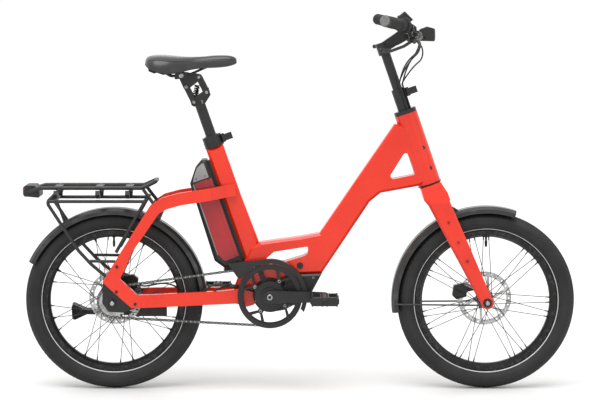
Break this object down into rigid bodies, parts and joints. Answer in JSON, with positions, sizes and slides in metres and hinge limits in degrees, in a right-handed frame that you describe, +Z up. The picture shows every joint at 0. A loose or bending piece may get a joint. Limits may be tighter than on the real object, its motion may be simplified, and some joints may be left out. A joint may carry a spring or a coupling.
{
  "type": "compact electric bicycle",
  "caption": "Step-through electric bicycle with small wheels, mid motor, rear battery, rack, mudguards, turning and telescoping stem, sprung seat post and folding side stand.",
  "frame": {"origin": "on the ground, midway between the axles in the middle plane", "axes": "+X forwards, +Y to the rider's left, +Z up"},
  "size_m": [1.628, 0.633, 1.116],
  "materials": {
    "frame_paint": "gloss orange-red paint over aluminium",
    "black_metal": "satin black anodised",
    "rack_metal": "satin black powder coat",
    "rim_metal": "satin black anodised",
    "steel": "oiled steel",
    "disc_steel": "ground steel",
    "spoke_steel": "black coated steel",
    "spring_steel": "black coated steel",
    "fender_plastic": "satin dark plastic",
    "guard_plastic": "satin dark plastic",
    "motor_case": "black cast shell",
    "pedal_plastic": "moulded plastic",
    "tyre_rubber": "moulded rubber with a pale reflective line",
    "grip_rubber": "textured rubber",
    "cable_sheath": "smooth black sheath",
    "battery_shell": "satin dark plastic",
    "battery_side": "gloss dark red",
    "saddle_cover": "smooth black cover",
    "lamp_front": "black housing with a clear lens",
    "lamp_rear": "red lens in a black housing",
    "display_glass": "gloss black"
  },
  "bodies": {
    "frame": {"main_frame": "frame_paint", "rear_triangle": "frame_paint", "dropout_plates": "black_metal", "motor_unit": "motor_case", "motor_cover": "guard_plastic", "chain_guard": "guard_plastic", "chain": "steel", "rear_axle": "black_metal", "rear_fender": "fender_plastic", "rear_rack": "rack_metal", "tail_light": "lamp_rear", "kickstand_bracket": "black_metal", "rear_brake_caliper": "black_metal", "headset_bearings": "steel", "battery_mount": "black_metal", "seat_collar": "black_metal", "rear_hoses": "cable_sheath"},
    "steering": {"fork": "frame_paint", "front_axle": "black_metal", "front_fender": "fender_plastic", "front_brake_caliper": "black_metal", "headset_cover": "black_metal", "stem_clamp": "black_metal"},
    "mast": {"stem_mast": "black_metal", "control_cables": "cable_sheath"},
    "cockpit": {"stem_head": "black_metal", "handlebar": "black_metal", "grips": "grip_rubber", "display": "display_glass", "headlight": "lamp_front"},
    "shifter": {"shift_grip": "grip_rubber"},
    "brake_lever_right": {"brake_lever_right": "black_metal"},
    "brake_lever_left": {"brake_lever_left": "black_metal"},
    "stem_clamp_lever": {"stem_clamp_lever": "black_metal"},
    "seat_clamp_lever": {"seat_clamp_lever": "black_metal"},
    "seat_post": {"seat_post": "black_metal", "suspension_spring": "spring_steel"},
    "link_rear": {"suspension_link_rear": "black_metal"},
    "link_front": {"suspension_link_front": "black_metal"},
    "saddle": {"saddle_clamp": "black_metal", "saddle": "saddle_cover"},
    "crank": {"crank_arms": "black_metal", "chainring": "steel", "chainring_guard": "guard_plastic"},
    "pedal_right": {"pedal_right": "pedal_plastic"},
    "pedal_left": {"pedal_left": "pedal_plastic"},
    "rear_wheel": {"rear_tyre": "tyre_rubber", "rear_rim": "rim_metal", "rear_spokes": "spoke_steel", "rear_hub": "black_metal", "rear_disc": "disc_steel"},
    "rear_sprocket": {"rear_sprocket": "steel"},
    "front_wheel": {"front_tyre": "tyre_rubber", "front_rim": "rim_metal", "front_spokes": "spoke_steel", "front_hub": "black_metal", "front_disc": "disc_steel"},
    "kickstand": {"kickstand_leg": "black_metal"},
    "battery": {"battery_case": "battery_shell", "battery_panels": "battery_side"}
  },
  "joints": [
    {"name": "steering", "type": "hinge", "parent": "frame", "child": "steering", "pos_m": [0.34472, 0, 0.72078], "axis": [-0.3256, 0, 0.9455], "range_deg": [-70, 70]},
    {"name": "handlebar_height", "type": "slide", "parent": "steering", "child": "mast", "axis": [-0.3256, 0, 0.9455], "range_m": [-0.07, 0.03]},
    {"name": "handlebar_twist", "type": "hinge", "parent": "mast", "child": "cockpit", "pos_m": [0.24705, 0, 1.00444], "axis": [-0.3256, 0, 0.9455], "range_deg": [0, 90], "deforming": ["control_cables"]},
    {"name": "shift_grip_turn", "type": "hinge", "parent": "cockpit", "child": "shifter", "pos_m": [0.28832, -0.21593, 1.07864], "axis": [-0.4885, -0.8642, 0.1202], "range_deg": [-60, 60]},
    {"name": "brake_lever_right_pull", "type": "hinge", "parent": "cockpit", "child": "brake_lever_right", "pos_m": [0.32298, -0.17, 1.03404], "axis": [-0.7278, 0.6405, 0.2451], "range_deg": [0, 22], "stiffness_Nm_per_rad": 1, "springref_deg": -11.46},
    {"name": "brake_lever_left_pull", "type": "hinge", "parent": "cockpit", "child": "brake_lever_left", "pos_m": [0.32298, 0.17, 1.03404], "axis": [0.7278, 0.6405, -0.2451], "range_deg": [0, 22], "stiffness_Nm_per_rad": 1, "springref_deg": -11.46},
    {"name": "stem_clamp_lever_turn", "type": "hinge", "parent": "steering", "child": "stem_clamp_lever", "pos_m": [0.31594, -0.0113, 0.88115], "axis": [0.3256, 0, -0.9455], "range_deg": [0, 80]},
    {"name": "seat_clamp_lever_turn", "type": "hinge", "parent": "frame", "child": "seat_clamp_lever", "pos_m": [-0.22719, -0.0113, 0.74519], "axis": [0.3305, 0, -0.9438], "range_deg": [0, 80]},
    {"name": "seat_height", "type": "slide", "parent": "frame", "child": "seat_post", "axis": [-0.3305, 0, 0.9438], "range_m": [-0.093, 0.08]},
    {"name": "seat_suspension", "type": "hinge", "parent": "seat_post", "child": "link_rear", "pos_m": [-0.3118, 0, 0.85066], "axis": [0, -1, 0], "range_deg": [0, 35], "stiffness_Nm_per_rad": 60, "springref_deg": -28.65, "deforming": ["suspension_spring"]},
    {"name": "seat_link_front", "type": "hinge", "parent": "seat_post", "child": "link_front", "pos_m": [-0.27476, 0, 0.87952], "axis": [0, -1, 0], "range_deg": [0, 35]},
    {"name": "saddle_level", "type": "hinge", "parent": "link_rear", "child": "saddle", "pos_m": [-0.3342, 0, 0.89536], "axis": [0, -1, 0], "range_deg": [-35, 0]},
    {"name": "crank_spin", "type": "hinge", "parent": "frame", "child": "crank", "pos_m": [-0.0885, 0, 0.282], "axis": [0, 1, 0], "continuous": true},
    {"name": "pedal_right_spin", "type": "hinge", "parent": "crank", "child": "pedal_right", "pos_m": [0.0715, -0.14, 0.282], "axis": [0, 1, 0], "continuous": true},
    {"name": "pedal_left_spin", "type": "hinge", "parent": "crank", "child": "pedal_left", "pos_m": [-0.2485, 0.14, 0.282], "axis": [0, 1, 0], "continuous": true},
    {"name": "rear_wheel_spin", "type": "hinge", "parent": "frame", "child": "rear_wheel", "pos_m": [-0.551, 0, 0.263], "axis": [0, 1, 0], "continuous": true},
    {"name": "rear_sprocket_spin", "type": "hinge", "parent": "frame", "child": "rear_sprocket", "pos_m": [-0.551, 0, 0.263], "axis": [0, 1, 0], "continuous": true},
    {"name": "front_wheel_spin", "type": "hinge", "parent": "steering", "child": "front_wheel", "pos_m": [0.551, 0, 0.263], "axis": [0, 1, 0], "continuous": true},
    {"name": "kickstand_fold", "type": "hinge", "parent": "frame", "child": "kickstand", "pos_m": [-0.488, 0.103, 0.215], "axis": [0, -0.9425, -0.3342], "range_deg": [0, 98]},
    {"name": "battery_tilt", "type": "hinge", "parent": "frame", "child": "battery", "pos_m": [-0.2198, 0, 0.36104], "axis": [0, -1, 0], "range_deg": [0, 12]}
  ],
  "couplings": [
    {"joint": "seat_link_front", "follows": "seat_suspension", "ratio": 1},
    {"joint": "saddle_level", "follows": "seat_suspension", "ratio": -1},
    {"joint": "rear_sprocket_spin", "follows": "crank_spin", "ratio": 2}
  ]
}
